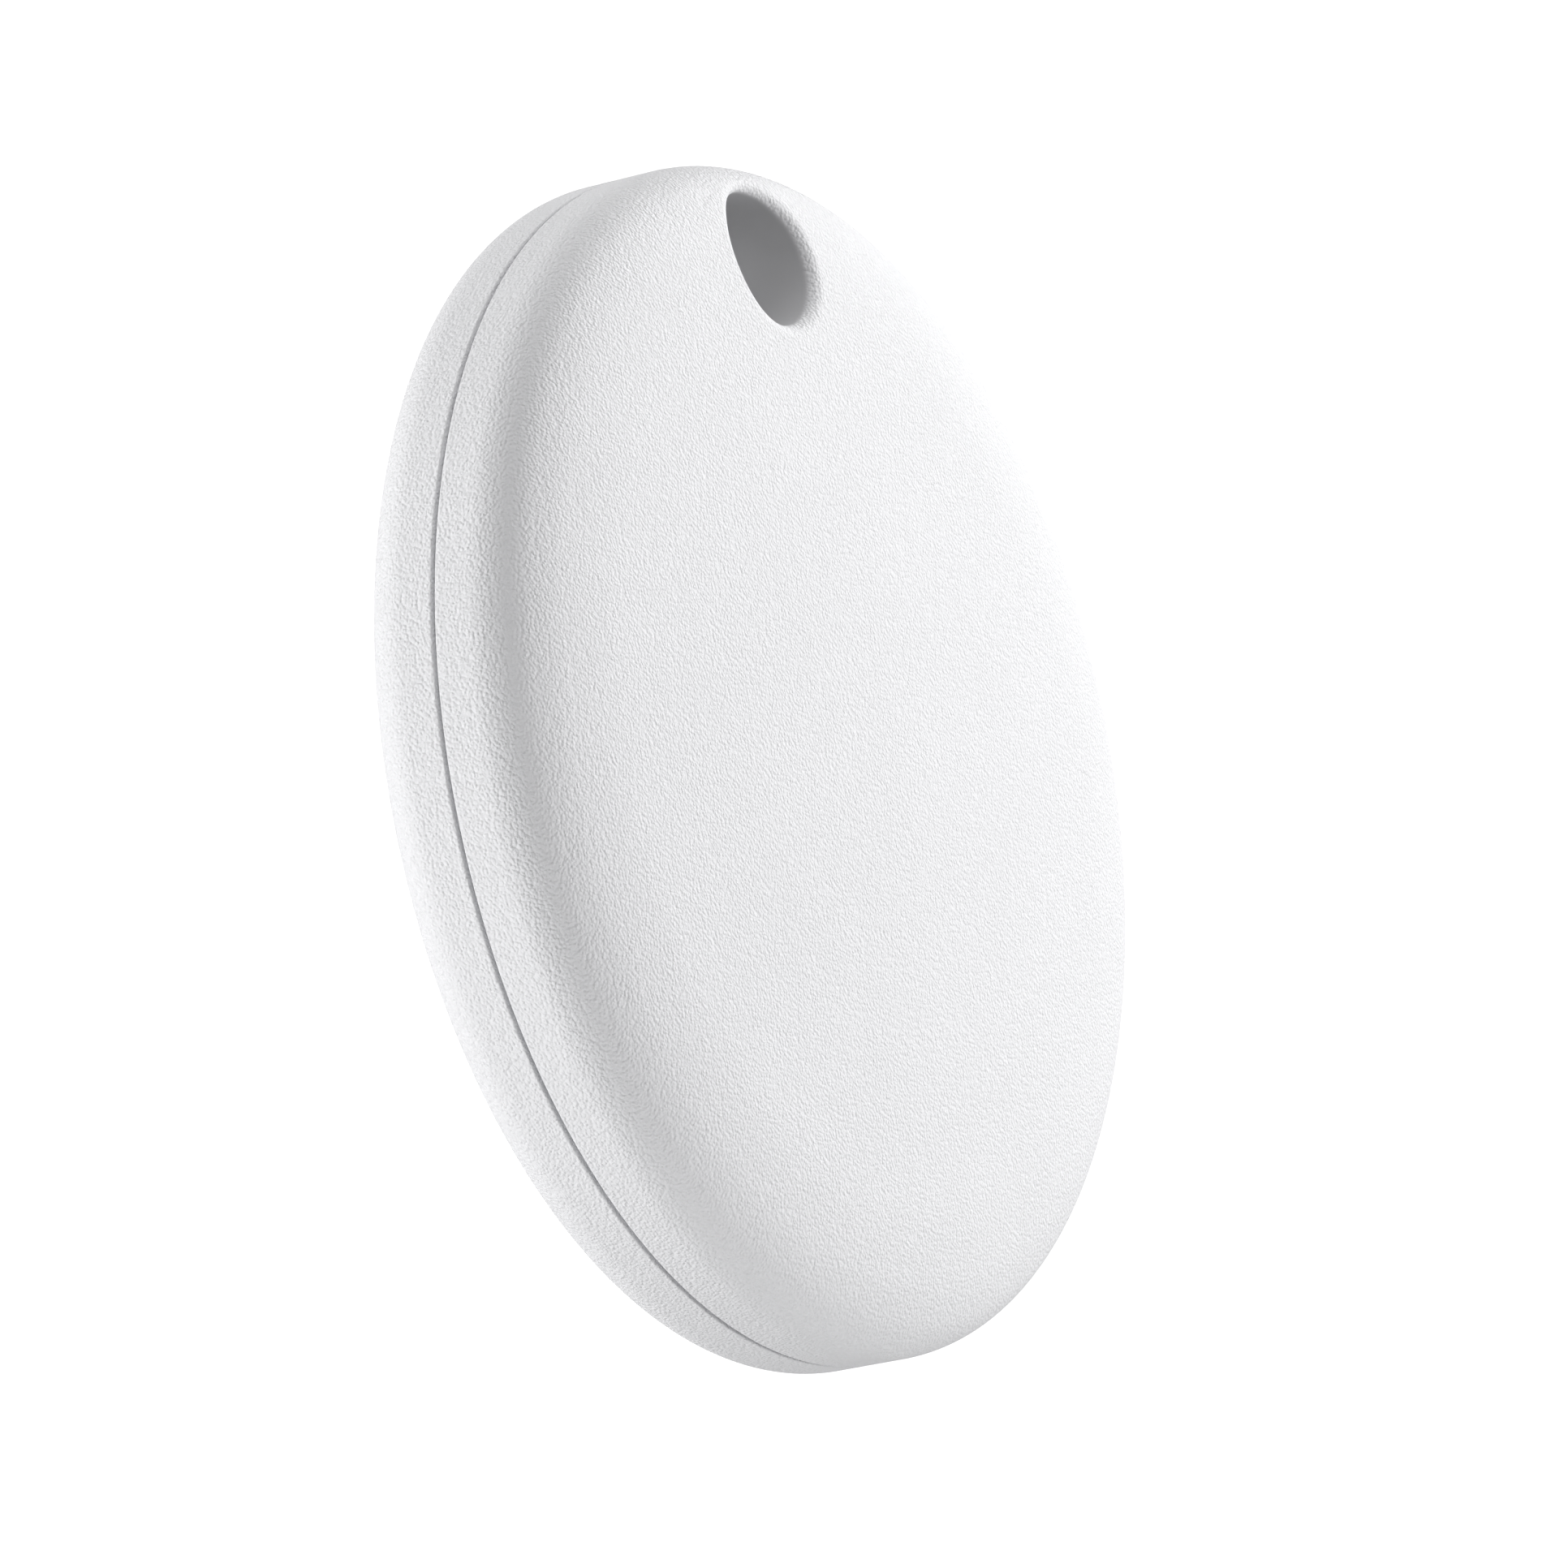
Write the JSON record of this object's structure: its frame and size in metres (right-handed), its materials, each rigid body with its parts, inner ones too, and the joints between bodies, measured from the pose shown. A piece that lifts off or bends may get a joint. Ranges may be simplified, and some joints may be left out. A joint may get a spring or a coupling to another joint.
{
  "type": "bluetooth tracker tag",
  "caption": "Round bluetooth tracker tag with a key-ring hole, a pressable front face, a snap-off rear cover and a replaceable coin cell.",
  "frame": {"origin": "middle of the flat on the rear cover that the tag lies on", "axes": "+Z out through the front face, +Y from the middle towards the key-ring hole"},
  "size_m": [0.038, 0.038, 0.0077],
  "materials": {
    "cover_plastic": "fine moulded grain, matte",
    "chassis_plastic": "matte",
    "silicone": "soft, matte",
    "solder_mask": "satin solder mask",
    "epoxy": "matte moulding compound",
    "crystal_can": "satin lid",
    "gold_track": "gold plated",
    "capacitor_body": "fired ceramic with tinned ends",
    "resistor_body": "glazed with tinned ends",
    "ferrite": "sintered",
    "spring_metal": "gold flash over spring bronze",
    "dome_steel": "bright stamped",
    "film": "clear amber film",
    "pad_white": "soft",
    "ceramic": "silvered ceramic",
    "buzzer_brass": "rolled brass",
    "adhesive": "foam tape",
    "cell_steel": "nickel plated",
    "cell_nylon": "moulded",
    "cell_filling": "pressed powder"
  },
  "bodies": {
    "housing": {"chassis": "chassis_plastic", "seal_ring": "silicone", "circuit_board": "solder_mask", "bluetooth_chip": "epoxy", "main_crystal": "crystal_can", "timing_crystal": "crystal_can", "antenna": "gold_track", "capacitors": "capacitor_body", "resistors": "resistor_body", "inductor": "ferrite", "reserve_capacitor": "capacitor_body", "buzzer_driver": "epoxy", "test_pads": "gold_track", "negative_contact": "spring_metal", "positive_contacts": "spring_metal", "switch_base": "epoxy", "switch_dome": "dome_steel", "switch_film": "film", "plate_spring": "spring_metal", "ceramic_spring": "spring_metal"},
    "front_cover": {"front_cover": "cover_plastic", "piezo_adhesive": "adhesive", "piezo_plate": "buzzer_brass", "piezo_ceramic": "ceramic", "actuator_pad": "pad_white"},
    "rear_cover": {"rear_cover": "cover_plastic"},
    "coin_cell": {"cell_can": "cell_steel", "cell_gasket": "cell_nylon", "cell_cap": "cell_steel", "cell_core": "cell_filling"}
  },
  "joints": [
    {"name": "face_press", "type": "slide", "parent": "housing", "child": "front_cover", "axis": [0, 0, -1], "range_m": [0, 0.0001], "stiffness_N_per_m": 10000, "springref_m": -0.0002, "deforming": ["switch_dome", "plate_spring", "ceramic_spring"]},
    {"name": "rear_cover_removal", "type": "slide", "parent": "housing", "child": "rear_cover", "axis": [0, 0, -1], "range_m": [0, 0.024]},
    {"name": "cell_removal", "type": "slide", "parent": "housing", "child": "coin_cell", "axis": [0, 0, -1], "range_m": [0, 0.012]}
  ],
  "couplings": [
    {"joint": "cell_removal", "follows": "rear_cover_removal", "ratio": 0.5}
  ]
}
